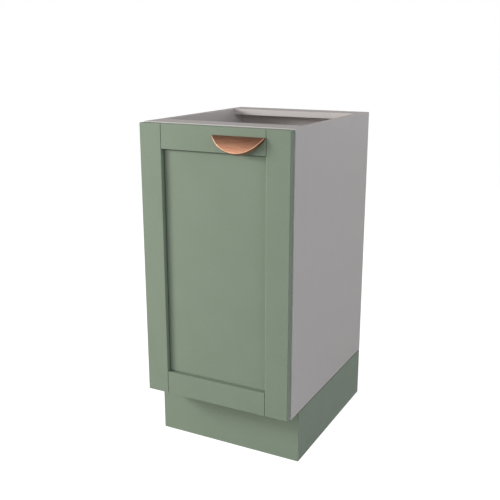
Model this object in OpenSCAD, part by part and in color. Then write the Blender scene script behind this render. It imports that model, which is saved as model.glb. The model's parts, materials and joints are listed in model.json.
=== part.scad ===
// Kitchen base cabinet with one framed door, 400 mm module.
// Units are millimetres. X runs to the right, Y to the back, Z up.
// The origin lies on the floor, in the middle of the whole footprint,
// so the front of the cabinet looks along -Y.

/* [Carcass] */
// Outer width of the carcass
carcass_w = 400; // [340:10:600]
// Depth of the carcass from front edge to back edge
carcass_d = 495; // [440:5:600]
// Height of the carcass above its feet
carcass_h = 700; // [640:10:840]
// Height of the carcass above the floor
base_h = 140; // [120:1:160]
// Thickness of the melamine boards
board_t = 16; // [15:0.5:19]
// Thickness of the plastic edge band on front edges
edge_t = 1; // [0.5:0.1:2]
// Depth of the two top rails, front to back
rail_d = 70; // [60:5:100]
// Thickness of the back panel
back_t = 3; // [3:0.5:6]
// Distance from the back panel to the rear edge of the sides
back_inset = 12; // [10:1:20]
// Depth of the grooves that hold the back panel
groove_d = 8; // [6:0.5:9]
// Gap between the back panel and the grooves, each side
groove_gap = 0.2; // [0.1:0.05:0.4]

/* [Holes in the sides] */
// Distance between the rows of 5 mm holes and between holes in a row
pitch = 32; // [30:1:32]
// Distance from the front edge to the front row of holes
row_setback = 37; // [35:0.5:40]
// Radius of the row holes
row_r = 2.5; // [2.5:0.05:3]
// Depth of the row holes
row_deep = 12; // [10:0.5:13]
// Number of pitches from the carcass underside to the first hole
row_first = 2; // [2:1:4]

/* [Shelf] */
// Pitches from the carcass underside to the holes that carry the shelf
shelf_row = 11; // [9:1:13]
// Distance from the front edge to the shelf
shelf_setback = 25; // [20:1:60]
// Gap between the shelf and each side
shelf_gap = 0.5; // [0.3:0.1:1.5]
// Length of the shelf pin that stands in the cabinet
pin_reach = 7; // [6:0.5:9]

/* [Door] */
// Thickness of the door frame
door_t = 20; // [19:0.5:22]
// Gap between the door and the carcass
door_gap = 2; // [1.5:0.1:3]
// Gap between the door edge and the outside of the carcass
side_reveal = 1.5; // [1:0.1:3]
// Gap between the door top and the top of the carcass
top_reveal = 1.5; // [1:0.5:5]
// Height of the door bottom over the underside of the carcass
bottom_reveal = 5.5; // [4:0.5:12]
// Width of the stiles and rails
frame_w = 59.5; // [59:0.5:80]
// Depth of the panel's field behind the face of the frame
panel_recess = 10; // [8:0.5:11]
// Thickness of the panel's edge, which the frame holds
panel_t = 5; // [4:0.5:5]
// How far the field of the panel stands out from its edge
field_step = 3; // [1:0.5:3]
// Width of the shadow groove between the frame and the field
field_groove = 3; // [2:0.5:8]
// Depth of the groove that holds panel and tenons
door_groove = 8.5; // [7:0.5:9]
// Gap on each face of the panel and tenons in their groove
tongue_gap = 0.1; // [0.05:0.05:0.2]
// Gap around the edge of the panel, which floats
panel_float = 0.6; // [0.4:0.1:1.5]
// Chamfer at the joint lines between stiles and rails
joint_v = 1.2; // [0.8:0.1:1.6]
// Width of the fine slot at the root of each joint line
joint_slot = 0.6; // [0.2:0.1:0.8]
// Chamfer around the opening for the panel
arris = 0.8; // [0.5:0.1:3]

/* [Handle] */
// Width of the half-moon handle along its straight top
handle_w = 134; // [110:1:150]
// Height of the half-moon handle
handle_h = 36.5; // [34:0.5:41]
// How far the lower part of the handle stands out from the door
handle_proj = 22; // [18:0.5:28]
// Thickness of the plate the handle is bent from
handle_wall = 2; // [1.6:0.1:2.4]
// How far the rim of the plate turns back towards the door
handle_return = 12; // [4:0.5:13]
// Distance from the door top to the top of the handle
handle_drop = 19; // [10:1:20]
// Distance from the right door edge to the end of the handle
handle_edge = 61.5; // [56:0.5:80]
// Distance between the two handle screws
handle_pitch = 64; // [48:1:80]

/* [Hinges] */
// Radius of the hinge cup
cup_r = 17.5; // [16.5:0.5:18]
// Depth of the hinge cup
cup_deep = 12.5; // [11:0.1:12.6]
// Distance from the door edge to the cup rim
cup_edge = 5; // [4:0.5:6]
// Pitches from the underside of the carcass to the lower hinge plate
hinge_low = 2; // [2:1:4]
// Pitches from the topmost whole pitch down to the upper hinge plate
hinge_high = 2; // [2:1:5]

/* [Feet and plinth] */
// Distance from the side faces to the foot axis
foot_side = 56; // [50:1:70]
// Distance from the back edge to the rear foot axis
foot_back = 60; // [50:1:100]
// Radius of the foot pad
foot_r = 28; // [24:1:30]
// Outer radius of the leg tube
tube_r = 15; // [14:0.5:18]
// Distance from the front edge to the plinth face
plinth_setback = 47; // [40:1:70]
// Thickness of the plinth boards
plinth_t = 16; // [12:1:19]
// Gap between the plinth and the carcass
plinth_top_gap = 3; // [2:0.5:6]
// Gap between the plinth and the floor
plinth_lift = 1; // [0.5:0.5:3]
// Distance from the plinth board to the leg axis
plinth_reach = 40; // [38:1:60]

/* [Hidden] */
$fn = 48;
over = 1; // how far cutting shapes run past the faces they cut

// Colours
c_board = [0.66, 0.65, 0.63];
c_edge = [0.70, 0.68, 0.66];
c_green = [0.40, 0.47, 0.38];
c_copper = [0.72, 0.43, 0.33];
c_steel = [0.72, 0.72, 0.74];
c_zinc = [0.60, 0.61, 0.62];
c_black = [0.10, 0.10, 0.11];
c_wood = [0.76, 0.62, 0.43];
c_hdf = [0.58, 0.50, 0.42];
c_clear = [0.85, 0.86, 0.86];

// Carcass faces
xl = -carcass_w / 2;
xr = carcass_w / 2;
front_y = (door_gap + door_t + handle_proj - carcass_d) / 2;
back_y = front_y + carcass_d;
top_z = base_h + carcass_h;
in_l = xl + board_t;
in_r = xr - board_t;
back_y1 = back_y - back_inset;
back_y0 = back_y1 - back_t;
groove_y0 = back_y0 - groove_gap;
groove_y1 = back_y1 + groove_gap;
band_gap = 0.1; // hairline gap where edge bands meet

// Rows of holes in the sides
row_back = 65; // rear row, from the back edge
row_front_y = front_y + row_setback;
row_back_y = back_y - row_back;
whole_rows = floor((carcass_h - board_t) / pitch);
row_last = whole_rows - 1;

// Dowels and cams, measured from the front and the back edge of the sides:
// at the low board (the bottom) and at the high ones (the two rails)
cam_low_front = 45;
cam_low_back = 110;
cam_high_front = 20;
cam_high_back = 52;
dowel_low_front = 75;
dowel_low_back = 140;
dowel_high_front = 48;
dowel_high_back = 28;
// Their places: [distance along the depth, height of the board]
board_mid = board_t / 2;
low_z = base_h + board_mid;
high_z = top_z - board_mid;
cam_at = [[front_y + cam_low_front, low_z], [back_y - cam_low_back, low_z],
    [front_y + cam_high_front, high_z], [back_y - cam_high_back, high_z]];
dowel_at = [[front_y + dowel_low_front, low_z], [back_y - dowel_low_back, low_z],
    [front_y + dowel_high_front, high_z], [back_y - dowel_high_back, high_z]];
cam_r = 7.5;
cam_h = 12.5;
cam_in = 24; // from the end of the board to the cam axis
cam_slot = 3.5; // half the length of the driver slots
cam_slot_deep = 2;
slot_half = 0.6; // half the width of a driver slot
bolt_r = 3;
bolt_room = 0.3; // radial room around the bolt in the cross board
bolt_end = 2; // from the tip of the bolt to the cam axis
bolt_thread_r = 2.5;
bolt_thread = 10; // length of thread in the side
dowel_r = 4;
dowel_side = 11; // length of dowel in the side
dowel_board = 20; // length of dowel in the cross board
slack = 0.05; // radial room around pins and screws that stand still
end_room = 0.5; // room at the end of a blind hole
screw_room = 0.1; // radial room around screws that pass through

// Worktop screws in the two top rails
top_hole_x = 120;
top_hole_r = 2.5;
top_hole_in = 32; // front pair, from the front edge
top_hole_out = 40; // rear pair, from the back edge
top_hole_front = front_y + top_hole_in;
top_hole_back = back_y - top_hole_out;

// Shelf
pin_r = row_r - slack;
pin_in = 9; // length of pin in the side
pin_top = 3; // height of the support over the pin axis
pin_below = 4;
pin_half = 3.5; // half the width of the support
pin_z = base_h + shelf_row * pitch;
shelf_z = pin_z + pin_top;
shelf_y0 = front_y + shelf_setback;
shelf_back_gap = 2;
shelf_y1 = back_y0 - shelf_back_gap;

// Door
door_x1 = xr - side_reveal;
door_x0 = -door_x1;
door_z0 = base_h + bottom_reveal;
door_z1 = top_z - top_reveal;
door_yb = front_y - door_gap;
door_yf = door_yb - door_t;
open_x0 = door_x0 + frame_w;
open_x1 = door_x1 - frame_w;
open_z0 = door_z0 + frame_w;
open_z1 = door_z1 - frame_w;
tongue_y0 = door_yf + panel_recess + field_step;
tongue_y1 = tongue_y0 + panel_t;
tenon = door_groove - end_room;
joint_deep = 3; // from the face of the door to the bottom of the joint slots
bumper_r = 4;
bumper_gap = 0.3; // from the pads to the carcass
bumper_t = door_gap - bumper_gap;
bumper_in = 8; // from the door edge
bumper_end = 30; // from the top and bottom of the door

// Handle: a half-moon plate curved forward over its height, with a top that bears
// on the door, a rim turned back along its round edge and two bosses behind it
handle_cx = door_x1 - handle_edge - handle_w / 2;
handle_z1 = door_z1 - handle_drop;
handle_R = (handle_w * handle_w / 4 + handle_h * handle_h) / (2 * handle_h);
handle_cz = handle_z1 - handle_h + handle_R;
curve_r = 66; // radius of the face, seen from the side
curve_low = 46; // from the top of the handle down to the middle of that curve
curve_rise = sqrt(curve_r * curve_r - pow(curve_low - handle_h, 2));
curve_y = door_yf - handle_proj + curve_rise;
// Top edge of the face in front of the door, and how far the face leans forward to its lowest point
handle_top_out = handle_proj - curve_rise + sqrt(curve_r * curve_r - curve_low * curve_low);
handle_lean = atan((handle_proj - handle_top_out) / handle_h);
// Circle of the rim, square to the leaning face, and its middle above the top edge
handle_slant = handle_h / cos(handle_lean);
rim_r = (handle_w * handle_w / 4 + handle_slant * handle_slant) / (2 * handle_slant);
rim_up = rim_r - handle_slant;
boss_r = 4.5;
screw_ring = handle_R - 10;
handle_screw_z = handle_cz - sqrt(screw_ring * screw_ring - handle_pitch * handle_pitch / 4);
handle_screw_r = 2;
handle_screw_in = 10;
handle_head_r = 4;
handle_head = 2.5;
handle_slot = 2.5; // half the length of the driver slots
handle_slot_deep = 1.2;

// Hinges, in plan from the front left corner of the carcass.
// Two links of different length carry the cup: the outer pair turns about
// arm_far and carries cup_near, the inner one turns about arm_near and
// guides cup_far in a slot.
hinge_z = [base_h + (hinge_low + 0.5) * pitch,
    base_h + (whole_rows - hinge_high + 0.5) * pitch];
arm_far = [board_t + 22, 12.5];
arm_near = [board_t + 19.5, -6];
cup_x = side_reveal + cup_edge + cup_r;
cup_near = [cup_x - 11, -door_gap - 2.5];
cup_far = [cup_x - 6, -door_gap - 4];
outer_bend = cup_near + [5, -4.5];
inner_bend = arm_near + [-7.5, -3];
slot_low = cup_far + [0.25, -1.66];
slot_high = cup_far + [0.25, 1.49];
slot_r = 2.2;
slot_ring = 3.6;
hinge_pin_r = 1.25;
run_gap = 0.05; // running room of the hinge pins
core_h = 4.5; // half thickness of the inner link
cheek0 = 4.8; // arm cheeks and cup lugs
cheek1 = 6.2;
plate0 = 6.5; // outer links
plate1 = 8;
outer_half = 2.4;
inner_half = 2.5;
bar_trim = 0.05; // the sides of a link lie this far inside its round ends
cup_wall = 1;
cup_floor = 0.8;
cup_under = 0.1; // room under the cup in its hole
flange_t = 1.2;
flange_w = 2;
ear_x = 9.5; // from the cup axis to the flange screws
ear_z = 22.5;
ear_r = 5.5;
cup_screw_r = 1.75;
cup_screw = 11;
cup_y = -door_gap - cup_deep;
block_r = 2.2; // round ends of the blocks that hold the outer pins
lug_r = 2; // round ends of the lugs that hold the inner pin
layer_gap = 0.3; // between the outer links and the blocks
pin_stand = 0.2; // how far pins stand out of what they hold
stub = cup_r - 5 - cheek1; // length of an outer cup pin
cup_head_r = 3.4;
cup_head = 1.4;
nose_r = 3; // round end of the arm
plate_t = 3;
plate_y0 = row_setback - 9;
plate_y1 = row_setback + 43;
wing_half_y = 6;
wing_half_z = 22;
rail_top = board_t + 14.5;
rail_y0 = row_setback - 2;
rail_y1 = plate_y1 - 2;
arm_x = board_t + 25.9; // face of the arm's web over the far pivot
arm_low = board_t + 8; // edge of the cheeks along the plate
web = 1.4;
arm_open = 15; // the arm is open this far to the side of its near pivot
euro_r = row_r - slack;
euro_in = 10;
euro_head_r = 3.8;
euro_head = 2;
euro_slot = 2.2; // half the length of the driver slot
euro_slot_deep = 1;
arm_screw_y = [row_setback + 9, row_setback + 31];
arm_screw_r = 2;
arm_screw_in = 8;
arm_head_r = 3.8;
arm_head = 1.8;

// Feet
feet = [[xl + foot_side, front_y + plinth_setback + plinth_t + plinth_reach],
    [xr - foot_side, front_y + plinth_setback + plinth_t + plinth_reach],
    [xl + foot_side, back_y - foot_back],
    [xr - foot_side, back_y - foot_back]];
socket_r = 30;
socket_t = 4;
socket_boss_r = tube_r + 4;
socket_boss = 20;
socket_z = base_h - socket_t;
socket_gap = 0.1;
socket_screw_ring = 24;
socket_screw_r = 1.75;
socket_screw_in = 11;
socket_head_r = 3.2;
socket_head = 1.8;
tube_bore_r = tube_r - 4;
tube_z0 = 16; // the collar of the foot bears on the tube here
stem_r = tube_bore_r - run_gap;
stem_z1 = 90;
collar_r = tube_r + 3;
pad_rim = 5; // height of the pad at its rim
pad_edge = 2; // bevel under the rim
pad_dish = 4; // rise from the rim to the collar

// Plinth
plinth_y0 = front_y + plinth_setback;
plinth_y1 = plinth_y0 + plinth_t;
plinth_z1 = base_h - plinth_top_gap;
clip_front_z = 45;
clip_side_z = 75;
clip_plate = 2;
clip_half_w = 12;
clip_half_h = 12;
clip_arm = 4;
clip_ring = 3;
clip_ring_h = 6; // half the height of the ring
clip_gap = 0.15;
clip_mouth = tube_r - 3; // half the width of the mouth that snaps over the tube
clip_mouth_y = tube_r / 2;

// Basic shapes
module slab(lo, hi) { translate(lo) cube(hi - lo); }
module rod_x(p, r, len) { translate(p) rotate([0, 90, 0]) cylinder(r = r, h = len); }
module rod_y(p, r, len) { translate(p) rotate([-90, 0, 0]) cylinder(r = r, h = len); }
module rod_z(p, r, len) { translate(p) cylinder(r = r, h = len); }
module both_sides() { children(); mirror([1, 0, 0]) children(); }

// Wedge that takes a chamfer c off the front edge running up at x, solid on the left
module chamfer_up(x, c, z0, z1) {
    translate([0, 0, z0]) linear_extrude(z1 - z0)
        polygon([[x + over, door_yf - over], [x - c - over, door_yf - over],
            [x + over, door_yf + c + over]]);
}

// Wedge that takes a chamfer c off the front edge running across at z, solid above
module chamfer_across(z, c, x0, x1) {
    translate([x0, 0, z]) rotate([90, 0, 90]) linear_extrude(x1 - x0)
        polygon([[door_yf - over, -over], [door_yf - over, c + over], [door_yf + c + over, -over]]);
}

// Holes in the left side for rows, dowels and cam bolts
module side_holes() {
    for (k = [row_first : row_last], y = [row_front_y, row_back_y])
        rod_x([in_l - row_deep, y, base_h + k * pitch], row_r, row_deep + over);
    for (p = cam_at)
        rod_x([in_l - bolt_thread - end_room, p[0], p[1]],
            bolt_thread_r + slack, bolt_thread + end_room + over);
    for (p = dowel_at)
        rod_x([in_l - dowel_side - end_room, p[0], p[1]], dowel_r + slack, dowel_side + end_room + over);
}

module side_panel() {
    difference() {
        slab([xl, front_y + edge_t, base_h], [in_l, back_y, top_z]);
        slab([in_l - groove_d, groove_y0, base_h - over],
            [in_l + over, groove_y1, top_z - board_t + groove_d]);
        side_holes();
    }
}

module left_side() { color(c_board) side_panel(); }
module right_side() { color(c_board) mirror([1, 0, 0]) side_panel(); }

// Cam, bolt and dowel holes in a cross board whose underside is at z
module cross_holes(cams, dowels, z) {
    both_sides() {
        for (y = cams) {
            rod_z([in_l + cam_in, y, z - over], cam_r, cam_h + end_room + over);
            rod_x([in_l - over, y, z + board_mid], bolt_r + bolt_room, cam_in + over);
        }
        for (y = dowels)
            rod_x([in_l - over, y, z + board_mid], dowel_r + slack, dowel_board + end_room + over);
    }
}

module bottom_panel() {
    color(c_board) difference() {
        slab([in_l, front_y + edge_t, base_h], [in_r, groove_y0, base_h + board_t]);
        cross_holes([cam_at[0][0], cam_at[1][0]], [dowel_at[0][0], dowel_at[1][0]], base_h);
        for (f = feet, a = [45 : 90 : 315])
            rod_z([f[0] + socket_screw_ring * cos(a), f[1] + socket_screw_ring * sin(a), base_h - over],
                socket_screw_r + slack, socket_screw_in + end_room + over);
    }
}

module worktop_holes(y) {
    for (x = [-top_hole_x, top_hole_x])
        rod_z([x, y, top_z - board_t - over], top_hole_r, board_t + 2 * over);
}

module front_rail() {
    color(c_board) difference() {
        slab([in_l, front_y + edge_t, top_z - board_t], [in_r, front_y + rail_d, top_z]);
        cross_holes([cam_at[2][0]], [dowel_at[2][0]], top_z - board_t);
        worktop_holes(top_hole_front);
    }
}

module back_rail() {
    color(c_board) difference() {
        slab([in_l, back_y - rail_d, top_z - board_t], [in_r, back_y, top_z]);
        cross_holes([cam_at[3][0]], [dowel_at[3][0]], top_z - board_t);
        worktop_holes(top_hole_back);
        slab([in_l - over, groove_y0, top_z - board_t - over],
            [in_r + over, groove_y1, top_z - board_t + groove_d]);
    }
}

module back_panel() {
    color(c_hdf) slab([in_l - groove_d + end_room, back_y0, base_h],
        [in_r + groove_d - end_room, back_y1, top_z - board_t + groove_d - end_room]);
}

module edge_bands() {
    color(c_edge) {
        both_sides() slab([xl, front_y, base_h], [in_l, front_y + edge_t, top_z]);
        slab([in_l + band_gap, front_y, base_h], [in_r - band_gap, front_y + edge_t, base_h + board_t]);
        slab([in_l + band_gap, front_y, top_z - board_t], [in_r - band_gap, front_y + edge_t, top_z]);
        slab([in_l + shelf_gap, shelf_y0, shelf_z],
            [in_r - shelf_gap, shelf_y0 + edge_t, shelf_z + board_t]);
    }
}

module shelf() {
    color(c_board) slab([in_l + shelf_gap, shelf_y0 + edge_t, shelf_z],
        [in_r - shelf_gap, shelf_y1, shelf_z + board_t]);
}

module shelf_pins() {
    color(c_steel) both_sides() for (y = [row_front_y, row_back_y]) union() {
        rod_x([in_l - pin_in, y, pin_z], pin_r, pin_in + over);
        slab([in_l, y - pin_half, pin_z - pin_below], [in_l + pin_reach, y + pin_half, shelf_z]);
    }
}

module dowels() {
    color(c_wood) both_sides() for (p = dowel_at)
        rod_x([in_l - dowel_side, p[0], p[1]], dowel_r, dowel_side + dowel_board);
}

module cam_bolts() {
    color(c_steel) both_sides() for (p = cam_at) union() {
        rod_x([in_l - bolt_thread, p[0], p[1]], bolt_thread_r, bolt_thread + over);
        rod_x([in_l, p[0], p[1]], bolt_r, cam_in - bolt_end);
    }
}

module cam_housings() {
    color(c_zinc) both_sides() for (p = cam_at) {
        z = p[1] - board_mid;
        difference() {
            rod_z([in_l + cam_in, p[0], z], cam_r - slack, cam_h);
            rod_x([in_l + cam_in - cam_r - over, p[0], p[1]], bolt_r + bolt_room, cam_r + over);
            for (half = [[cam_slot, slot_half], [slot_half, cam_slot]])
                slab([in_l + cam_in - half[0], p[0] - half[1], z - over],
                    [in_l + cam_in + half[0], p[0] + half[1], z + cam_slot_deep]);
        }
    }
}

// Stile on the left; the right one is its mirror image
module stile() {
    difference() {
        slab([door_x0, door_yf, door_z0], [open_x0, door_yb, door_z1]);
        slab([open_x0 - door_groove, tongue_y0 - tongue_gap, door_z0 - over],
            [open_x0 + over, tongue_y1 + tongue_gap, door_z1 + over]);
        chamfer_up(open_x0, joint_v, door_z0 - over, door_z1 + over);
        chamfer_up(open_x0, arris, open_z0, open_z1);
    }
}

module door_left_stile() {
    color(c_green) difference() {
        stile();
        for (z = hinge_z) translate([xl, front_y, z]) {
            rod_y([cup_x, cup_y - cup_under, 0], cup_r, cup_deep + cup_under + over);
            for (s = [-1, 1])
                rod_y([cup_x + ear_x, -door_gap - cup_screw - end_room, s * ear_z],
                    cup_screw_r + slack, cup_screw + end_room + over);
        }
    }
}

module door_right_stile() { color(c_green) mirror([1, 0, 0]) stile(); }

// Rail at the bottom of the door; the top one is its mirror image
module door_rail() {
    difference() {
        union() {
            slab([open_x0, door_yf, door_z0], [open_x1, door_yb, open_z0]);
            slab([open_x0 - tenon, tongue_y0, door_z0], [open_x1 + tenon, tongue_y1, open_z0]);
        }
        slab([open_x0 - door_groove - over, tongue_y0 - tongue_gap, open_z0 - door_groove],
            [open_x1 + door_groove + over, tongue_y1 + tongue_gap, open_z0 + over]);
        both_sides() {
            chamfer_up(open_x1, joint_v, door_z0 - over, open_z0 + over);
            slab([open_x1 - joint_slot, door_yf - over, door_z0 - over],
                [open_x1 + over, door_yf + joint_deep, open_z0 + over]);
        }
        translate([0, 0, 2 * open_z0]) mirror([0, 0, 1])
            chamfer_across(open_z0, arris, open_x0 - over, open_x1 + over);
    }
}

module door_bottom_rail() { color(c_green) door_rail(); }

module door_top_rail() {
    color(c_green) difference() {
        translate([0, 0, door_z0 + door_z1]) mirror([0, 0, 1]) door_rail();
        for (s = [-1, 1])
            rod_y([handle_cx + s * handle_pitch / 2, door_yf - over, handle_screw_z],
                handle_screw_r + screw_room, door_t + 2 * over);
    }
}

module door_panel() {
    edge = door_groove - panel_float;
    color(c_green) union() {
        slab([open_x0 - edge, tongue_y0, open_z0 - edge], [open_x1 + edge, tongue_y1, open_z1 + edge]);
        slab([open_x0 + field_groove, door_yf + panel_recess, open_z0 + field_groove],
            [open_x1 - field_groove, tongue_y0 + over, open_z1 - field_groove]);
    }
}

module door_bumpers() {
    color(c_clear) for (z = [door_z0 + bumper_end, door_z1 - bumper_end])
        rod_y([door_x1 - bumper_in, door_yb, z], bumper_r, bumper_t);
}

// Bar across the handle, round about the middle of its curve, set back towards the door
module curve_bar(r, back = 0) {
    translate([0, back, 0])
        rod_x([handle_cx - handle_R, curve_y, handle_z1 - curve_low], r, 2 * handle_R, $fn = 240);
}

// Round bar square to the leaning face, whose outside is the handle's round edge
module rim_bar(r) {
    translate([handle_cx, door_yf - handle_top_out + rim_up * sin(handle_lean),
        handle_z1 + rim_up * cos(handle_lean)]) rotate([90 - handle_lean, 0, 0])
        translate([0, 0, -curve_r]) cylinder(r = r, h = 2 * curve_r, $fn = 120);
}

module handle() {
    middle = curve_r - handle_wall / 2;
    top_lo = [handle_cx - handle_R, door_yf - handle_proj, handle_z1 - handle_wall];
    top_hi = [handle_cx + handle_R, door_yf + over, handle_z1 + over];
    color(c_copper) difference() {
        intersection() {
            slab([handle_cx - rim_r, door_yf - handle_proj - over, handle_z1 - handle_h - 2 * handle_return],
                [handle_cx + rim_r, door_yf, handle_z1]);
            rim_bar(rim_r);
            union() {
                difference() {
                    curve_bar(curve_r);
                    curve_bar(curve_r - handle_wall);
                }
                intersection() {
                    slab(top_lo, top_hi);
                    curve_bar(middle);
                }
                difference() {
                    curve_bar(middle);
                    rim_bar(rim_r - handle_wall);
                    curve_bar(curve_r, handle_return);
                }
                intersection() {
                    for (s = [-1, 1])
                        rod_y([handle_cx + s * handle_pitch / 2, door_yf - handle_proj, handle_screw_z],
                            boss_r, handle_proj + over);
                    curve_bar(middle);
                }
            }
        }
        for (s = [-1, 1])
            rod_y([handle_cx + s * handle_pitch / 2, door_yf - handle_screw_in, handle_screw_z],
                handle_screw_r + slack, handle_screw_in + over);
    }
}

module handle_screws() {
    color(c_steel) for (s = [-1, 1]) {
        x = handle_cx + s * handle_pitch / 2;
        difference() {
            union() {
                rod_y([x, door_yf - handle_screw_in + end_room, handle_screw_z], handle_screw_r,
                    door_t + handle_screw_in - end_room + over);
                rod_y([x, door_yb, handle_screw_z], handle_head_r, handle_head);
            }
            for (half = [[handle_slot, slot_half], [slot_half, handle_slot]])
                slab([x - half[0], door_yb + handle_head - handle_slot_deep, handle_screw_z - half[1]],
                    [x + half[0], door_yb + handle_head + over, handle_screw_z + half[1]]);
        }
    }
}

// Places its children at both hinges
module at_hinges() { for (z = hinge_z) translate([xl, front_y, z]) children(); }

// A layer of a hinge part between heights z0 and z1, above or below the middle
module layer(z0, z1, s) { translate([0, 0, s > 0 ? z0 : -z1]) linear_extrude(z1 - z0) children(); }

// Flat bar with round ends from p to q
module bar(p, q, half) {
    d = q - p;
    translate(p) circle(half);
    translate(q) circle(half);
    side = half - bar_trim;
    translate(p) rotate(atan2(d[1], d[0])) translate([0, -side]) square([norm(d), 2 * side]);
}

module hinge_plates() {
    color(c_steel) at_hinges() difference() {
        union() {
            slab([board_t, plate_y0, -cheek1], [board_t + plate_t, plate_y1, cheek1]);
            slab([board_t, row_setback - wing_half_y, -wing_half_z],
                [board_t + plate_t, row_setback + wing_half_y, wing_half_z]);
            slab([board_t, rail_y0, -core_h], [rail_top, rail_y1, core_h]);
        }
        for (s = [-1, 1])
            rod_x([board_t - over, row_setback, s * pitch / 2], euro_r + slack, plate_t + 2 * over);
        for (y = arm_screw_y)
            rod_x([rail_top - arm_screw_in - end_room, y, 0],
                arm_screw_r + slack, arm_screw_in + end_room + over);
    }
}

module hinge_plate_screws() {
    color(c_steel) at_hinges() for (s = [-1, 1]) difference() {
        union() {
            rod_x([board_t - euro_in, row_setback, s * pitch / 2], euro_r, euro_in + plate_t + over);
            rod_x([board_t + plate_t, row_setback, s * pitch / 2], euro_head_r, euro_head);
        }
        translate([board_t + plate_t + euro_head, row_setback, s * pitch / 2])
            slab([-euro_slot_deep, -euro_slot, -slot_half], [over, euro_slot, slot_half]);
    }
}

// Outline of the hinge arm, seen from above: a nose at the near pivot,
// deep cheeks round the far pivot and a low tail along the plate
module arm_shape() {
    translate(arm_near) circle(nose_r);
    polygon([arm_near - [nose_r, 0], arm_far + [-4.5, -2.5], [arm_low, arm_far[1] + 13.5],
        [arm_low, rail_y1], [rail_top + web, rail_y1], [rail_top + web, rail_y0 + 1],
        [arm_x, arm_far[1] + 4.5], [arm_x, arm_far[1] - 6.5],
        arm_near + [nose_r + 0.1, 5], arm_near + [nose_r, 0]]);
}

// Inside of the hinge arm: leaves its web and opens the nose for the inner link
module arm_hollow() {
    polygon([arm_near - [arm_open, 6], [arm_x + over, arm_near[1] - 6], [arm_x + over, arm_far[1] - 4.5],
        [arm_x - web, arm_far[1] - 4.5], [arm_x - web, arm_far[1] + 4.1],
        [rail_top, rail_y0 + 0.6], [rail_top, plate_y1], [arm_near[0] - arm_open, plate_y1]]);
}

module hinge_arms() {
    color(c_steel) at_hinges() difference() {
        translate([0, 0, -cheek1]) linear_extrude(2 * cheek1) arm_shape();
        translate([0, 0, -cheek0]) linear_extrude(2 * cheek0) arm_hollow();
        rod_z([arm_far[0], arm_far[1], -plate1], hinge_pin_r + slack, 2 * plate1);
        rod_z([arm_near[0], arm_near[1], -plate1], hinge_pin_r + slack, 2 * plate1);
        for (y = arm_screw_y) rod_x([rail_top - over, y, 0], arm_screw_r + slack, web + 2 * over);
    }
}

module hinge_arm_screws() {
    color(c_steel) at_hinges() for (y = arm_screw_y) union() {
        rod_x([rail_top - arm_screw_in, y, 0], arm_screw_r, arm_screw_in + web + over);
        rod_x([rail_top + web, y, 0], arm_head_r, arm_head);
    }
}

module hinge_arm_pins() {
    color(c_steel) at_hinges() {
        rod_z([arm_far[0], arm_far[1], -plate1 - pin_stand], hinge_pin_r, 2 * (plate1 + pin_stand));
        rod_z([arm_near[0], arm_near[1], -cheek1], hinge_pin_r, 2 * cheek1);
    }
}

module hinge_outer_links() {
    color(c_steel) at_hinges() for (s = [-1, 1]) difference() {
        layer(plate0, plate1, s) {
            bar(cup_near, outer_bend, outer_half);
            bar(outer_bend, arm_far, outer_half);
        }
        rod_z([arm_far[0], arm_far[1], -plate1 - over], hinge_pin_r + run_gap, 2 * (plate1 + over));
        rod_z([cup_near[0], cup_near[1], -plate1 - over], hinge_pin_r + run_gap, 2 * (plate1 + over));
    }
}

module hinge_inner_links() {
    color(c_steel) at_hinges() difference() {
        translate([0, 0, -core_h]) linear_extrude(2 * core_h) {
            bar(slot_low, slot_high, slot_ring);
            bar(slot_low + [inner_half, 0], inner_bend, inner_half);
            bar(inner_bend, arm_near, inner_half);
        }
        translate([0, 0, -core_h - over]) linear_extrude(2 * (core_h + over))
            bar(slot_low, slot_high, slot_r);
        rod_z([arm_near[0], arm_near[1], -core_h - over], hinge_pin_r + run_gap, 2 * (core_h + over));
    }
}

// Cup with its flange, the lugs of the inner pin and the blocks of the outer pins
module hinge_cups() {
    inner_r = cup_r - slack - cup_wall;
    color(c_steel) at_hinges() difference() {
        union() {
            difference() {
                union() {
                    rod_y([cup_x, cup_y, 0], cup_r - slack, cup_deep + flange_t);
                    rod_y([cup_x, -door_gap, 0], cup_r + flange_w, flange_t);
                    slab([cup_x + ear_x - ear_r, -door_gap, -ear_z],
                        [cup_x + ear_x + ear_r, flange_t - door_gap, ear_z]);
                    for (s = [-1, 1]) rod_y([cup_x + ear_x, -door_gap, s * ear_z], ear_r, flange_t);
                }
                rod_y([cup_x, cup_y + cup_floor, 0], inner_r, cup_deep + flange_t);
            }
            for (s = [-1, 1]) {
                layer(cheek0, cheek1, s) {
                    translate([cup_far[0] - lug_r, cup_y + cup_floor / 2])
                        square([2 * lug_r, cup_far[1] - cup_y - cup_floor / 2]);
                    translate(cup_far) circle(lug_r);
                }
                intersection() {
                    rod_y([cup_x, cup_y + cup_floor / 2, 0], cup_r - slack - cup_wall / 2, cup_deep);
                    layer(plate1 + layer_gap, cup_r, s) {
                        translate([cup_near[0] - block_r, cup_y])
                            square([2 * block_r, cup_near[1] - cup_y]);
                        translate(cup_near) circle(block_r);
                    }
                }
            }
        }
        rod_z([cup_far[0], cup_far[1], -cheek1 - over], hinge_pin_r + slack, 2 * (cheek1 + over));
        for (s = [-1, 1]) {
            rod_z([cup_near[0], cup_near[1], s > 0 ? plate1 : -cup_r], hinge_pin_r + slack, cup_r - plate1);
            rod_y([cup_x + ear_x, -door_gap - over, s * ear_z], cup_screw_r + slack, flange_t + 2 * over);
        }
    }
}

module hinge_cup_screws() {
    color(c_steel) at_hinges() for (s = [-1, 1]) union() {
        rod_y([cup_x + ear_x, -door_gap - cup_screw, s * ear_z],
            cup_screw_r, cup_screw + flange_t + cup_head / 2);
        rod_y([cup_x + ear_x, -door_gap + flange_t, s * ear_z], cup_head_r, cup_head);
    }
}

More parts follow.
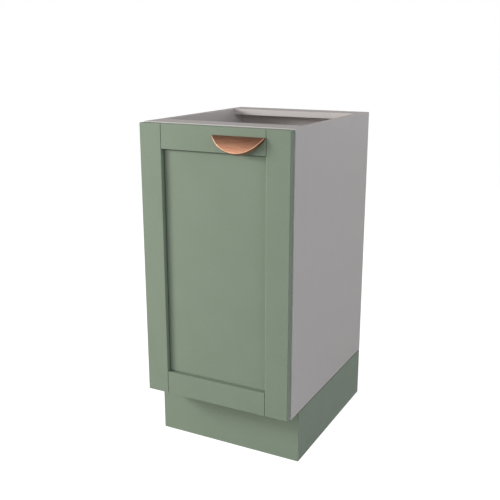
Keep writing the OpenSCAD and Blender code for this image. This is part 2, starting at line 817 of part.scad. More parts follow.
module hinge_cup_pins() {
    color(c_steel) at_hinges() {
        rod_z([cup_far[0], cup_far[1], -cheek1], hinge_pin_r, 2 * cheek1);
        for (s = [-1, 1])
            rod_z([cup_near[0], cup_near[1], s > 0 ? plate0 - pin_stand : pin_stand - plate0 - stub],
                hinge_pin_r, stub);
    }
}

module leg_sockets() {
    color(c_black) for (f = feet) difference() {
        union() {
            rod_z([f[0], f[1], socket_z], socket_r, socket_t);
            rod_z([f[0], f[1], socket_z - socket_boss], socket_boss_r, socket_boss + over);
        }
        rod_z([f[0], f[1], socket_z - socket_boss - over], tube_r + socket_gap, socket_boss + over);
        for (a = [45 : 90 : 315])
            rod_z([f[0] + socket_screw_ring * cos(a), f[1] + socket_screw_ring * sin(a), socket_z - over],
                socket_screw_r + screw_room, socket_t + 2 * over);
    }
}

module socket_screws() {
    color(c_steel) for (f = feet, a = [45 : 90 : 315])
        translate([f[0] + socket_screw_ring * cos(a), f[1] + socket_screw_ring * sin(a), 0]) union() {
            rod_z([0, 0, socket_z - 1], socket_screw_r, socket_t + socket_screw_in + 1);
            rod_z([0, 0, socket_z - socket_head], socket_head_r, socket_head);
        }
}

module leg_tubes() {
    color(c_black) for (f = feet) difference() {
        rod_z([f[0], f[1], tube_z0], tube_r, socket_z - tube_z0);
        rod_z([f[0], f[1], tube_z0 - over], tube_bore_r, socket_z - tube_z0 + 2 * over);
    }
}

// Foot: pad, collar that bears on the tube, and stem
module foot(i) {
    color(c_black) translate([feet[i][0], feet[i][1], 0]) rotate_extrude()
        polygon([[0, 0], [foot_r - pad_edge, 0], [foot_r, pad_edge], [foot_r, pad_rim],
            [collar_r, pad_rim + pad_dish], [collar_r, tube_z0],
            [stem_r, tube_z0], [stem_r, stem_z1], [0, stem_z1]]);
}

module foot_front_left() { foot(0); }
module foot_front_right() { foot(1); }
module foot_back_left() { foot(2); }
module foot_back_right() { foot(3); }

module plinth_front() {
    color(c_green) slab([xl, plinth_y0, plinth_lift], [xr, plinth_y1, plinth_z1]);
}

module plinth_return() {
    color(c_green) slab([xl, plinth_y1, plinth_lift], [xl + plinth_t, back_y, plinth_z1]);
}

module plinth_left() { plinth_return(); }
module plinth_right() { mirror([1, 0, 0]) plinth_return(); }

// Clip from a board face at y = 0 to a leg axis at y = reach
module clip(reach) {
    hold = tube_r + clip_gap;
    difference() {
        union() {
            slab([-clip_half_w, 0, -clip_half_h], [clip_half_w, clip_plate, clip_half_h]);
            slab([-clip_arm, 0, -clip_ring_h], [clip_arm, reach - hold, clip_ring_h]);
            rod_z([0, reach, -clip_ring_h], hold + clip_ring, 2 * clip_ring_h);
        }
        rod_z([0, reach, -clip_ring_h - over], hold, 2 * (clip_ring_h + over));
        slab([-clip_mouth, reach + clip_mouth_y, -clip_ring_h - over],
            [clip_mouth, reach + hold + clip_ring + over, clip_ring_h + over]);
    }
}

module plinth_clips() {
    side_reach = foot_side - plinth_t;
    color(c_black) {
        for (i = [0, 1]) translate([feet[i][0], plinth_y1, clip_front_z]) clip(plinth_reach);
        for (i = [0, 2]) translate([xl + plinth_t, feet[i][1], clip_side_z]) rotate(-90) clip(side_reach);
        for (i = [1, 3]) translate([xr - plinth_t, feet[i][1], clip_side_z]) rotate(90) clip(side_reach);
    }
}

left_side();
right_side();
bottom_panel();
front_rail();
back_rail();
back_panel();
edge_bands();
shelf();
shelf_pins();
dowels();
cam_bolts();
cam_housings();
door_left_stile();
door_right_stile();
door_top_rail();
door_bottom_rail();
door_panel();
door_bumpers();
handle();
handle_screws();
hinge_plates();
hinge_plate_screws();
hinge_arms();
hinge_arm_screws();
hinge_arm_pins();
hinge_outer_links();
hinge_inner_links();
hinge_cups();
hinge_cup_screws();
hinge_cup_pins();
leg_sockets();
socket_screws();
leg_tubes();
foot_front_left();
foot_front_right();
foot_back_left();
foot_back_right();
plinth_front();
plinth_left();
plinth_right();
plinth_clips();
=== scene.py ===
import json
import math

import bmesh
import bpy
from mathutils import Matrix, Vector

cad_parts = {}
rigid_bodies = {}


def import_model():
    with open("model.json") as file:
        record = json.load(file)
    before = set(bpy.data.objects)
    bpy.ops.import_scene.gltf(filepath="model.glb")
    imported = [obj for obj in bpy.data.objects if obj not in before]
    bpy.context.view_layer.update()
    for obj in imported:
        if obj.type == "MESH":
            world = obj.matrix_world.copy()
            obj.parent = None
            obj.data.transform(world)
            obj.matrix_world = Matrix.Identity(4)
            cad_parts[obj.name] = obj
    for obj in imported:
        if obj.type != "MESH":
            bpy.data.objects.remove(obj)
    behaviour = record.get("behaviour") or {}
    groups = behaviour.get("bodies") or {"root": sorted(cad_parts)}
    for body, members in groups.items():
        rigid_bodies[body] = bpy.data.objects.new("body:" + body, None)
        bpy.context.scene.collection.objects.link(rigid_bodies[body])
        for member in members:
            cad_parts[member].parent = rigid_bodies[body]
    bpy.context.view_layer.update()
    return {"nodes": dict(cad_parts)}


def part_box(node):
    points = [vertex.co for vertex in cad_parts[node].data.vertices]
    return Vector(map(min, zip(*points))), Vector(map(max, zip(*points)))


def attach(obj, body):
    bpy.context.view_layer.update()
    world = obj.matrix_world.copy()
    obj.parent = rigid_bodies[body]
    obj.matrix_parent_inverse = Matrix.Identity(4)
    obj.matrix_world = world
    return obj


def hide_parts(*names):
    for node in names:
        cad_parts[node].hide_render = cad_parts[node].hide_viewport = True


# Anything that the start-up file holds goes first, so that the box below is the part's alone
for leftover in list(bpy.data.objects):
    bpy.data.objects.remove(leftover)

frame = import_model()
nodes = frame["nodes"]
MM = 0.001


# Colours are written as sRGB values from 0 to 1 and turned into the linear ones of the shaders
def srgb(r, g, b):
    def linear(c):
        return c / 12.92 if c <= 0.04045 else ((c + 0.055) / 1.055) ** 2.4
    return (linear(r), linear(g), linear(b), 1.0)


# A grey of a linear value
def grey(value):
    return (value, value, value, 1)


GREEN, GREEN_DEEP = srgb(0.556, 0.606, 0.536), srgb(0.545, 0.596, 0.524)
BOARD, BOARD_DEEP = srgb(0.858, 0.828, 0.817), srgb(0.848, 0.821, 0.811)
# Edge band: nearly the board's tone, lifted to paint in the light that falls on the boards' front
# edges
BAND = srgb(0.965, 0.950, 0.935)
FIBRE, FIBRE_DEEP = srgb(0.56, 0.44, 0.32), srgb(0.40, 0.30, 0.21)
BEECH, BEECH_DEEP = srgb(0.84, 0.70, 0.53), srgb(0.66, 0.49, 0.33)
BLACK, BLACK_DEEP = srgb(0.12, 0.12, 0.125), srgb(0.085, 0.085, 0.09)
CLEAR, CLEAR_DEEP = srgb(0.95, 0.95, 0.94), srgb(0.88, 0.89, 0.88)
COPPER, COPPER_DEEP = srgb(0.735, 0.550, 0.450), srgb(0.585, 0.405, 0.310)
# Brighter copper of the bead along the rim: a painted highlight
COPPER_HIGHLIGHT = srgb(0.900, 0.745, 0.640)
# Linear colours
NICKEL, NICKEL_DEEP = (0.70, 0.69, 0.67, 1), (0.60, 0.59, 0.57, 1)
ZINC, ZINC_DEEP = (0.56, 0.57, 0.59, 1), (0.46, 0.47, 0.49, 1)
PORE = (0.72, 0.66, 0.6, 1)
SMUDGE = (0.93, 0.92, 0.91, 1)

# Specular level of lacquer and melamine, far below plain plastic's 0.5, and of hardboard
PAINT_SHINE, HARDBOARD_SHINE = 0.08, 0.3
# Sockets of a colour mix node: factor, first and second colour
MIX_FACTOR, MIX_A, MIX_B = 0, 6, 7


# A small builder for node materials. A pattern's scale counts its blobs per metre, and a
# bump's distance is in metres
class Mat:
    def __init__(self, name):
        self.mat = bpy.data.materials.new(name)
        self.mat.use_nodes = True
        self.tree = self.mat.node_tree
        self.bsdf = self.tree.nodes["Principled BSDF"]
        self.coord = self.node("ShaderNodeTexCoord")

    def node(self, kind, **values):
        made = self.tree.nodes.new(kind)
        for key, value in values.items():
            setattr(made, key, value)
        return made

    def link(self, a, b):
        self.tree.links.new(a, b)

    # Sets inputs of the surface shader to plain values
    def set(self, **values):
        for key, value in values.items():
            self.bsdf.inputs[key.replace("_", " ")].default_value = value
        return self

    # Feeds inputs of the surface shader from other nodes
    def feed(self, **sources):
        for key, source in sources.items():
            self.link(source, self.bsdf.inputs[key.replace("_", " ")])
        return self

    def noise(self, scale, detail=2.0, stretch=(1, 1, 1), roughness=0.5):
        place = self.node("ShaderNodeMapping")
        place.inputs["Scale"].default_value = stretch
        self.link(self.coord.outputs["Object"], place.inputs["Vector"])
        made = self.node("ShaderNodeTexNoise")
        made.inputs["Scale"].default_value = scale
        made.inputs["Detail"].default_value = detail
        made.inputs["Roughness"].default_value = roughness
        self.link(place.outputs["Vector"], made.inputs["Vector"])
        return made.outputs["Fac"]

    # Maps a value from the span in at to the span from low to high
    def spread(self, value, low, high, at=(0.3, 0.7)):
        made = self.node("ShaderNodeMapRange")
        made.inputs["From Min"].default_value, made.inputs["From Max"].default_value = at
        made.inputs["To Min"].default_value, made.inputs["To Max"].default_value = low, high
        self.link(value, made.inputs["Value"])
        return made.outputs["Result"]

    # Colours a value by two stops, each a position and a colour
    def ramp(self, value, *stops):
        made = self.node("ShaderNodeValToRGB")
        for element, (at, color) in zip(made.color_ramp.elements, stops):
            element.position, element.color = at, color
        self.link(value, made.inputs["Fac"])
        return made.outputs["Color"]

    def mix(self, fac, a, b, blend="MIX"):
        made = self.node("ShaderNodeMix", data_type="RGBA", blend_type=blend)
        for source, at in ((fac, MIX_FACTOR), (a, MIX_A), (b, MIX_B)):
            if isinstance(source, bpy.types.NodeSocket):
                self.link(source, made.inputs[at])
            else:
                made.inputs[at].default_value = source
        return made.outputs[2]

    def times(self, a, b):
        return self.mix(1.0, a, b, "MULTIPLY")

    def bump(self, height, strength, distance, onto=None):
        made = self.node("ShaderNodeBump")
        made.inputs["Strength"].default_value = strength
        made.inputs["Distance"].default_value = distance
        self.link(height, made.inputs["Height"])
        if onto:
            self.link(onto, made.inputs["Normal"])
        self.link(made.outputs["Normal"], self.bsdf.inputs["Normal"])
        return made.outputs["Normal"]


# Satin lacquer: even colour with a faint cloudiness and a fine orange peel
def lacquer(name, light, deep):
    m = Mat(name)
    cloud = m.noise(scale=9, detail=3)
    grain = m.noise(scale=1400, detail=2)
    color = m.mix(m.spread(cloud, 0, 1), deep, light)
    speck = m.ramp(grain, (0.35, grey(0.96)), (0.65, grey(1.03)))
    m.feed(Base_Color=m.times(color, speck),
           Roughness=m.spread(m.noise(scale=60, detail=3), 0.42, 0.52))
    peel = m.bump(grain, strength=0.06, distance=0.0001)
    m.bump(m.noise(scale=520, detail=2), strength=0.10, distance=0.0002, onto=peel)
    return m.set(Specular_IOR_Level=PAINT_SHINE).mat


# Melamine board: a pale ground with fine flecks and a pearl texture
def melamine(name, light, deep, pearl):
    m = Mat(name)
    fleck = m.noise(scale=900, detail=3, roughness=0.7)
    cloud = m.noise(scale=14, detail=4)
    color = m.mix(m.spread(cloud, 0.2, 0.8), deep, light)
    speck = m.ramp(fleck, (0.32, grey(0.95)), (0.68, grey(1.035)))
    m.feed(Base_Color=m.times(color, speck), Roughness=m.spread(fleck, 0.44, 0.58))
    m.bump(m.noise(scale=1500, detail=2), strength=pearl, distance=0.0002)
    return m.set(Specular_IOR_Level=PAINT_SHINE).mat


# Hardboard: laminated like the carcass on its front, brown fibre on its back
def hardboard(name):
    m = Mat(name)
    facing = m.node("ShaderNodeSeparateXYZ")
    m.link(m.coord.outputs["Normal"], facing.inputs["Vector"])
    back = m.spread(facing.outputs["Y"], 0, 1, at=(-0.5, -0.4))
    fibre = m.noise(scale=420, detail=5, stretch=(1, 1, 2.2), roughness=0.7)
    brown = m.ramp(fibre, (0.3, FIBRE_DEEP), (0.7, FIBRE))
    laminate = m.mix(m.spread(m.noise(scale=900, detail=3), 0, 1), BOARD_DEEP, BOARD)
    m.feed(Base_Color=m.mix(back, laminate, brown),
           Roughness=m.spread(back, 0.5, 0.82, at=(0, 1)))
    m.bump(fibre, strength=0.18, distance=0.0003)
    return m.set(Specular_IOR_Level=HARDBOARD_SHINE).mat


# Brushed copper: fine streaks along the handle, smoother in the dark ones
def brushed(name, light, deep):
    m = Mat(name)
    streak = m.noise(scale=1, detail=4, stretch=(25, 900, 2600), roughness=0.6)
    smudge = m.noise(scale=55, detail=3)
    color = m.mix(m.spread(streak, 0, 1), deep, light)
    worn = m.ramp(smudge, (0.3, SMUDGE), (0.7, grey(1.03)))
    m.feed(Base_Color=m.times(color, worn), Roughness=m.spread(streak, 0.27, 0.42))
    m.bump(streak, strength=0.10, distance=0.0001)
    return m.set(Metallic=1.0).mat


# Plated, cast or polished metal with faint blotches and a grained surface
def metal(name, light, deep, rough, grain_scale, grain):
    m = Mat(name)
    blotch = m.noise(scale=70, detail=4)
    m.feed(Base_Color=m.mix(m.spread(blotch, 0, 1), deep, light),
           Roughness=m.spread(m.noise(scale=240, detail=3), rough - 0.06, rough + 0.08))
    m.bump(m.noise(scale=grain_scale, detail=3), strength=grain, distance=0.0001)
    return m.set(Metallic=1.0).mat


# Beech: long fibres with short dark pores
def beech(name):
    m = Mat(name)
    fibre = m.noise(scale=1, detail=4, stretch=(60, 1500, 1500), roughness=0.6)
    pore = m.noise(scale=1, detail=2, stretch=(240, 4200, 4200))
    ground = m.ramp(fibre, (0.3, BEECH_DEEP), (0.7, BEECH))
    dark = m.ramp(pore, (0.36, PORE), (0.46, grey(1)))
    m.feed(Base_Color=m.times(ground, dark), Roughness=m.spread(fibre, 0.6, 0.75))
    m.bump(fibre, strength=0.2, distance=0.0002)
    return m.mat


# Black moulded plastic with a fine grain
def plastic(name):
    m = Mat(name)
    grain = m.noise(scale=1100, detail=3)
    m.feed(Base_Color=m.mix(m.spread(m.noise(scale=30, detail=3), 0, 1), BLACK_DEEP, BLACK),
           Roughness=m.spread(grain, 0.38, 0.56))
    m.bump(grain, strength=0.25, distance=0.0002)
    return m.mat


# Clear soft plastic of the door's bumpers
def rubber(name):
    m = Mat(name)
    m.feed(Base_Color=m.mix(m.spread(m.noise(scale=200, detail=2), 0, 1), CLEAR_DEEP, CLEAR),
           Roughness=m.spread(m.noise(scale=600, detail=2), 0.14, 0.26))
    return m.set(Transmission_Weight=0.75, IOR=1.45).mat


finish = {
    "board": melamine("grey_melamine", BOARD, BOARD_DEEP, pearl=0.16),
    "edge_band": melamine("grey_edge_band", BAND, BOARD, pearl=0.10),
    "back_board": hardboard("laminated_hardboard"),
    "green_lacquer": lacquer("green_lacquer_satin", GREEN, GREEN_DEEP),
    "green_plinth": lacquer("green_plinth_satin", GREEN, GREEN_DEEP),
    "copper": brushed("copper_brushed", COPPER, COPPER_DEEP),
    "steel": metal("steel_nickel_plated", NICKEL, NICKEL_DEEP,
                   rough=0.27, grain_scale=900, grain=0.05),
    "zinc": metal("zinc_cast", ZINC, ZINC_DEEP, rough=0.46, grain_scale=700, grain=0.2),
    "beech": beech("beech_wood"),
    "black_plastic": plastic("black_moulded_plastic"),
    "clear_rubber": rubber("clear_soft_plastic"),
}
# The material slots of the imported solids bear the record's slot names
for node in nodes.values():
    for held in node.material_slots:
        held.material = finish[held.material.name.split(".")[0]]


# Vertices closer than this, in millimetres, are joined
JOIN_WITHIN = 0.002
# Angles in degrees: edges up to the first are shaded smooth, faces that turn less than the
# second are merged, and edges sharper than the third are rounded
SMOOTH_UP_TO, FLAT_UP_TO, ROUND_FROM = 30, 0.2, 35
ROUND_SEGMENTS = 2


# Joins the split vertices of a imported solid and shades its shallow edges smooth
def make_joiner():
    group = bpy.data.node_groups.new("join_and_smooth", "GeometryNodeTree")
    for direction in ("INPUT", "OUTPUT"):
        group.interface.new_socket("Geometry", in_out=direction, socket_type="NodeSocketGeometry")
    start, end = group.nodes.new("NodeGroupInput"), group.nodes.new("NodeGroupOutput")
    merge = group.nodes.new("GeometryNodeMergeByDistance")
    merge.inputs["Distance"].default_value = JOIN_WITHIN * MM
    drop = group.nodes.new("GeometryNodeRemoveAttribute")
    drop.inputs["Name"].default_value = "custom_normal"
    angle = group.nodes.new("GeometryNodeInputMeshEdgeAngle")
    small = group.nodes.new("FunctionNodeCompare")
    small.data_type, small.operation = "FLOAT", "LESS_THAN"
    small.inputs["B"].default_value = math.radians(SMOOTH_UP_TO)
    faces, edges = (group.nodes.new("GeometryNodeSetShadeSmooth") for _ in range(2))
    faces.domain, edges.domain = "FACE", "EDGE"
    link = group.links.new
    link(start.outputs[0], merge.inputs["Geometry"])
    link(merge.outputs["Geometry"], drop.inputs["Geometry"])
    link(drop.outputs["Geometry"], faces.inputs["Geometry"])
    link(faces.outputs["Geometry"], edges.inputs["Geometry"])
    link(angle.outputs["Unsigned Angle"], small.inputs["A"])
    link(small.outputs["Result"], edges.inputs["Shade Smooth"])
    link(edges.outputs["Geometry"], end.inputs[0])
    return group


joiner = make_joiner()


# Rounds the sharp edges of a node by so many millimetres; 0 only joins and smooths
def soften(name, width):
    node = nodes[name]
    node.modifiers.new("join", "NODES").node_group = joiner
    if width:
        flat = node.modifiers.new("flat", "DECIMATE")
        flat.decimate_type, flat.angle_limit = "DISSOLVE", math.radians(FLAT_UP_TO)
        edge = node.modifiers.new("edge", "BEVEL")
        edge.width, edge.segments = width * MM, ROUND_SEGMENTS
        edge.limit_method, edge.angle_limit = "ANGLE", math.radians(ROUND_FROM)
        edge.harden_normals = True
        edge.use_clamp_overlap = True


# Nodes by the rounding of their edges, in millimetres
ROUNDED = {
    0.35: ["left_side", "right_side", "bottom_panel", "front_rail", "back_rail", "shelf"],
    0.3: ["edge_bands", "back_panel", "door_panel"],
    0.6: ["door_left_stile", "door_right_stile", "door_top_rail", "door_bottom_rail"],
    0.5: ["plinth_front", "plinth_left", "plinth_right"],
    0.25: ["hinge_plates", "hinge_arms", "hinge_cups", "hinge_outer_links", "hinge_inner_links",
           "shelf_pins", "plinth_clips", "leg_sockets", "cam_housings", "door_bumpers"],
    0.0: ["dowels", "cam_bolts", "hinge_plate_screws", "hinge_arm_screws", "hinge_arm_pins",
          "hinge_cup_screws", "hinge_cup_pins", "socket_screws", "leg_tubes", "handle_screws",
          "foot_front_left", "foot_front_right", "foot_back_left", "foot_back_right"],
}
for width, names in ROUNDED.items():
    for name in names:
        soften(name, width)


# Handle: a half-moon plate curved forward over its height, with two bosses behind it and its
# rim turned back square to the leaning face. Sizes in millimetres, as in the part's source:
# the whole, the plate's thickness and how far the rim is turned back
HANDLE_W, HANDLE_H, HANDLE_OUT, WALL, RETURN = 134.0, 36.5, 22.0, 2.0, 12.0
# Radius of the face's curve, and how far its middle lies below the handle's top
CURVE, CURVE_LOW = 66.0, 46.0
# Roundings of the rim and of the top edge, and the radius of the bead
RIM_ROUND, EDGE_ROUND, BEAD = 1.1, 0.6, 1.0
# The bead's gap to the rim's outside, its rise over the face and its share of the rim's length
BEAD_INSET, BEAD_RISE, BEAD_REACH = 0.02, 0.1, 0.995
# Bosses: radius, distance apart, and distance from the round edge
BOSS_RADIUS, BOSS_APART, BOSS_RING = 4.5, 64.0, 10.0
# Steps of the mesh: over the handle's width, down its face, round the rim and the top edge,
# and round a boss and the bead
WIDTH_STEPS, FACE_STEPS, RIM_STEPS, EDGE_STEPS = 120, 48, 6, 4
BOSS_STEPS, BEAD_STEPS = 40, 16
# Vertices closer than the first and edges shorter than the second are dropped, in millimetres
WELD_WITHIN, DROP_WITHIN = 0.01, 0.005
# Edges of the plate stay sharp from this angle in degrees
PLATE_SHARP_FROM = 40
# Rounds of the search for a height over the rim's plane, many more than it needs
SEARCH_ROUNDS = 12

handle_low, handle_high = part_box("handle")
handle_x = (handle_low.x + handle_high.x) / 2 / MM
handle_y = handle_high.y / MM
handle_top = handle_high.z / MM


# How far the face, or a surface so far behind it, stands out at so many millimetres below the
# handle's top
def face_out(depth, behind=0.0):
    middle = HANDLE_OUT - math.sqrt(CURVE ** 2 - (CURVE_LOW - HANDLE_H) ** 2)
    return middle + math.sqrt((CURVE - behind) ** 2 - (CURVE_LOW - depth) ** 2)


# The rim is a circle in a plane that leans with the face. A place on that plane is given by
# its radius and angle on the circle and by its height in front of the plane
LEAN = math.atan((HANDLE_OUT - face_out(0)) / HANDLE_H)
SLANT = HANDLE_H / math.cos(LEAN)
RADIUS = (HANDLE_W ** 2 / 4 + SLANT ** 2) / (2 * SLANT)
RIM_UP = RADIUS - SLANT


# Such a place as millimetres to the right of the middle, below the top and out from the door
def unlean(r, angle, height):
    slope = r * math.cos(angle) - RIM_UP
    return (r * math.sin(angle),
            slope * math.cos(LEAN) - height * math.sin(LEAN),
            face_out(0) + slope * math.sin(LEAN) + height * math.cos(LEAN))


# Height over the rim's plane of the face, or of a surface so far behind it and set back so far
def face_height(r, angle, behind=0.0, back=0.0):
    height = 0.0
    for _ in range(SEARCH_ROUNDS):
        depth, out = unlean(r, angle, height)[1:]
        height += (face_out(depth, behind) - back - out) * math.cos(LEAN)
    return height


# Points of a quarter round of a given radius: along it and down from it, in so many steps
def quarter(radius, steps):
    turns = [math.pi / 2 * k / steps for k in range(steps + 1)]
    return [(radius * math.sin(t), radius * (1 - math.cos(t))) for t in turns]


# Closed section of the plate on one ray from the middle of the rim's circle: up the top edge,
# down the face, round the rim, in behind it and back up to the door
def plate_section(angle):
    top = RIM_UP / math.cos(angle)
    end, inside = RADIUS - RIM_ROUND, RADIUS - WALL
    across, edge_out = unlean(top, angle, 0)[0], face_out(0)
    ring = [(across, 0.0, 0.0)]
    for rise, inward in quarter(EDGE_ROUND, EDGE_STEPS)[:-1]:
        ring.append((across, inward, edge_out - EDGE_ROUND + rise))
    start = min(end, top + EDGE_ROUND / math.cos(angle))
    for k in range(FACE_STEPS + 1):
        r = start + (end - start) * k / FACE_STEPS
        ring.append(unlean(r, angle, face_height(r, angle)))
    lip = face_height(end, angle)
    for outward, drop in quarter(RIM_ROUND, RIM_STEPS)[1:]:
        ring.append(unlean(end + outward, angle, lip - drop))
    ring.append(unlean(RADIUS, angle,
                       min(lip - RIM_ROUND, face_height(RADIUS, angle, back=RETURN))))
    folded = face_height(inside, angle, back=RETURN)
    plate_back = max(folded, face_height(inside, angle, behind=WALL))
    ring += [unlean(inside, angle, folded), unlean(inside, angle, plate_back)]
    under = min(inside, (RIM_UP + WALL) / math.cos(angle))
    for k in range(1, FACE_STEPS + 1):
        r = inside + (under - inside) * k / FACE_STEPS
        ring.append(unlean(r, angle, face_height(r, angle, behind=WALL)))
    ring.append((ring[-1][0], ring[-1][1], 0.0))
    return [(x, max(0.0, depth), max(0.0, out)) for x, depth, out in ring]


# A vertex so far to the right of the handle's middle, below its top and out from the door
def handle_vertex(bm, across, depth, out):
    x, y, z = handle_x + across, handle_y - out, handle_top - depth
    return bm.verts.new((x * MM, y * MM, z * MM))


# Angles that step from one end of the handle to the other
def steps_across(widest):
    return [widest * (2 * i / WIDTH_STEPS - 1) for i in range(WIDTH_STEPS + 1)]


# Angles once round a circle
def full_turn(steps):
    return [2 * math.pi * k / steps for k in range(steps)]


# Faces between neighbouring closed rings of vertices
def skin(bm, rings):
    for a, b in zip(rings, rings[1:]):
        for k in range(len(a)):
            after = (k + 1) % len(a)
            bm.faces.new((a[k], b[k], b[after], a[after]))


# A piece of the scene from a finished mesh, shaded smooth
def make_piece(name, bm, material):
    bmesh.ops.recalc_face_normals(bm, faces=bm.faces)
    mesh = bpy.data.meshes.new(name)
    bm.to_mesh(mesh)
    bm.free()
    mesh.shade_smooth()
    mesh.materials.append(material)
    piece = bpy.data.objects.new(name, mesh)
    bpy.context.scene.collection.objects.link(piece)
    return piece


def make_handle():
    bm = bmesh.new()
    skin(bm, [[handle_vertex(bm, *spot) for spot in plate_section(angle)]
              for angle in steps_across(math.acos(RIM_UP / RADIUS))])
    # The screws lie on a circle inside the round edge as it looks from the front
    front_r = (HANDLE_W ** 2 / 4 + HANDLE_H ** 2) / (2 * HANDLE_H)
    boss_drop = math.sqrt((front_r - BOSS_RING) ** 2 - BOSS_APART ** 2 / 4) - (front_r - HANDLE_H)
    for side in (-1, 1):
        near, far = [], []
        for t in full_turn(BOSS_STEPS):
            across = side * BOSS_APART / 2 + BOSS_RADIUS * math.cos(t)
            depth = boss_drop + BOSS_RADIUS * math.sin(t)
            near.append(handle_vertex(bm, across, depth, 0))
            far.append(handle_vertex(bm, across, depth, face_out(depth, WALL / 2)))
        skin(bm, [far, near])
        bm.faces.new(near)
        bm.faces.new(far)
    bmesh.ops.remove_doubles(bm, verts=bm.verts, dist=WELD_WITHIN * MM)
    bmesh.ops.dissolve_degenerate(bm, edges=bm.edges, dist=DROP_WITHIN * MM)
    piece = make_piece("handle_plate", bm, finish["copper"])
    piece.data.set_sharp_from_angle(angle=math.radians(PLATE_SHARP_FROM))
    return piece


# The rim's front edge: a thin rod that follows the round edge, in a brighter copper that paints
# in the highlight along the rim
def make_bead():
    bm = bmesh.new()
    middle = RADIUS - BEAD - BEAD_INSET
    rings = []
    for angle in steps_across(math.acos(RIM_UP / middle) * BEAD_REACH):
        height = face_height(middle, angle) - BEAD + BEAD_RISE
        spots = [unlean(middle + BEAD * math.cos(t), angle, height + BEAD * math.sin(t))
                 for t in full_turn(BEAD_STEPS)]
        rings.append([handle_vertex(bm, *spot) for spot in spots])
    skin(bm, rings)
    bm.faces.new(rings[0])
    bm.faces.new(rings[-1])
    # A lighter copper than the plate's: a painted highlight along the rim
    highlight_copper = metal("copper_painted_highlight", COPPER_HIGHLIGHT, COPPER,
                     rough=0.42, grain_scale=900, grain=0.05)
    return make_piece("handle_bead", bm, highlight_copper)


for piece in (make_handle(), make_bead()):
    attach(piece, "door")
    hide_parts("handle")


# Camera at the photograph's viewing angle: place in metres, and how far it looks down and is
# turned to the left, in radians
CAMERA_PLACE = (0.85993, -1.71734, 1.01195)
CAMERA_DOWN, CAMERA_TURN = 0.2667, 0.4776
camera_data = bpy.data.cameras.new("camera")
camera_data.sensor_width = 36
camera_data.lens = 53.472
camera = bpy.data.objects.new("camera", camera_data)
camera.location = CAMERA_PLACE
camera.rotation_euler = (math.pi / 2 - CAMERA_DOWN, 0, CAMERA_TURN)
bpy.context.scene.collection.objects.link(camera)
bpy.context.scene.camera = camera


# Studio light: a large key and a smaller raking lamp from the left, a cooler one from the
# right and one from behind. Each has its place in metres, the width of its disc, its power in
# watts and its colour, and all look at the cabinet's middle
MIDDLE = (0, 0, 0.45)
LAMPS = {
    "key": ((-2.35, -1.95, 1.1), 1.6, 46, (1.0, 0.99, 0.97)),
    "rake": ((-2.7, -1.5, 1.55), 0.7, 47, (1.0, 0.99, 0.97)),
    "fill": ((2.4, -1.2, 1.35), 1.4, 14.5, (0.79, 0.90, 1.0)),
    "rear": ((0.7, 2.4, 1.4), 1.6, 19, (1.0, 0.98, 0.97)),
}
for name, (place, size, power, color) in LAMPS.items():
    data = bpy.data.lights.new(name, "AREA")
    data.shape, data.size, data.energy, data.color = "DISK", size, power, color
    lamp = bpy.data.objects.new(name, data)
    lamp.location = place
    lamp.rotation_euler = (Vector(MIDDLE) - Vector(place)).to_track_quat("-Z", "Y").to_euler()
    bpy.context.scene.collection.objects.link(lamp)


# Maps a value from one span to another with a node of the given tree
def mapped(tree, value, low, high, at=(0.0, 1.0)):
    made = tree.nodes.new("ShaderNodeMapRange")
    made.inputs["From Min"].default_value, made.inputs["From Max"].default_value = at
    for source, socket in ((low, made.inputs["To Min"]), (high, made.inputs["To Max"])):
        if isinstance(source, bpy.types.NodeSocket):
            tree.links.new(source, socket)
        else:
            socket.default_value = source
    tree.links.new(value, made.inputs["Value"])
    return made.outputs["Result"]


# Joins two values with a node of the given tree, by MAXIMUM or MULTIPLY
def joined(tree, operation, a, b):
    made = tree.nodes.new("ShaderNodeMath")
    made.operation = operation
    tree.links.new(a, made.inputs[0])
    tree.links.new(b, made.inputs[1])
    return made.outputs["Value"]


# Where something is looked at straight or through clear plastic
def looked_at(tree, path):
    return joined(tree, "MAXIMUM", path.outputs["Is Camera Ray"],
                  path.outputs["Is Transmission Ray"])


# Light of the surroundings on the object: more from the front, less from behind, and the
# share of it that comes from straight above
FRONT_LIGHT, BACK_LIGHT, ZENITH_SHARE = 0.80, 0.16, 0.04
# What metal reflects: white at the horizon and below, dimmer above between these two heights
ZENITH_SHEEN, SHEEN_SPAN = 0.22, (0.3, 0.85)

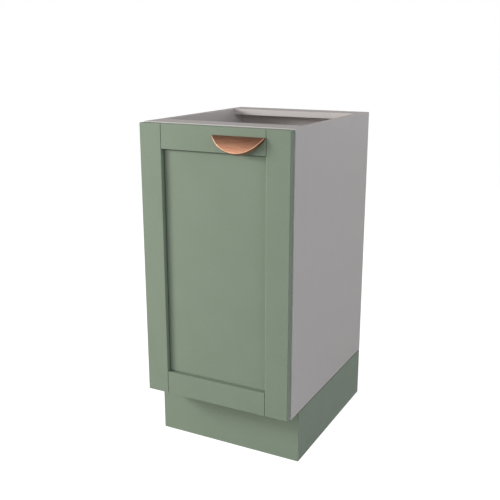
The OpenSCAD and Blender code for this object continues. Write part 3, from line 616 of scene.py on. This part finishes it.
# World: plain white where it is seen, and the studio's light where it falls on the object
world = bpy.data.worlds.new("studio")
bpy.context.scene.world = world
world.use_nodes = True
sky = world.node_tree
glow = sky.nodes["Background"]
glow.inputs["Color"].default_value = grey(1)
direction = sky.nodes.new("ShaderNodeTexCoord")
split = sky.nodes.new("ShaderNodeSeparateXYZ")
sky.links.new(direction.outputs["Generated"], split.inputs["Vector"])
path = sky.nodes.new("ShaderNodeLightPath")
around = mapped(sky, split.outputs["Y"], FRONT_LIGHT, BACK_LIGHT, at=(-1.0, 1.0))
above = mapped(sky, split.outputs["Z"], 1.0, ZENITH_SHARE)
light = joined(sky, "MULTIPLY", around, above)
sheen = mapped(sky, split.outputs["Z"], 1.0, ZENITH_SHEEN, at=SHEEN_SPAN)
lit = mapped(sky, path.outputs["Is Glossy Ray"], light, sheen)
sky.links.new(mapped(sky, looked_at(sky, path), lit, 1.0), glow.inputs["Strength"])

# Floor: pale and plain, white where it is seen, with the cabinet's soft shadow on it. Its half
# width in metres, the grey that lights the object, and the grey and the glow that are seen
REACH, FLOOR_GREY, SHADOW_GREY, FLOOR_GLOW = 30, 0.42, 0.35, 0.95
corners = [(-REACH, -REACH, 0), (REACH, -REACH, 0), (REACH, REACH, 0), (-REACH, REACH, 0)]
floor_mesh = bpy.data.meshes.new("floor")
floor_mesh.from_pydata(corners, [], [(0, 1, 2, 3)])
floor = bpy.data.objects.new("floor", floor_mesh)
bpy.context.scene.collection.objects.link(floor)
floor_mat = bpy.data.materials.new("floor_pale")
floor_mat.use_nodes = True
tree = floor_mat.node_tree
tree.nodes.clear()
matte, shade = (tree.nodes.new("ShaderNodeBsdfDiffuse") for _ in range(2))
matte.inputs["Color"].default_value = grey(FLOOR_GREY)
shade.inputs["Color"].default_value = grey(SHADOW_GREY)
shine = tree.nodes.new("ShaderNodeEmission")
shine.inputs["Strength"].default_value = FLOOR_GLOW
both, pick = tree.nodes.new("ShaderNodeAddShader"), tree.nodes.new("ShaderNodeMixShader")
out = tree.nodes.new("ShaderNodeOutputMaterial")
tree.links.new(shade.outputs[0], both.inputs[0])
tree.links.new(shine.outputs[0], both.inputs[1])
path = tree.nodes.new("ShaderNodeLightPath")
seen = joined(tree, "MAXIMUM", looked_at(tree, path), path.outputs["Is Glossy Ray"])
tree.links.new(seen, pick.inputs["Fac"])
tree.links.new(matte.outputs[0], pick.inputs[1])
tree.links.new(both.outputs[0], pick.inputs[2])
tree.links.new(pick.outputs[0], out.inputs["Surface"])
floor_mesh.materials.append(floor_mat)

bpy.context.scene.view_settings.view_transform = "Standard"
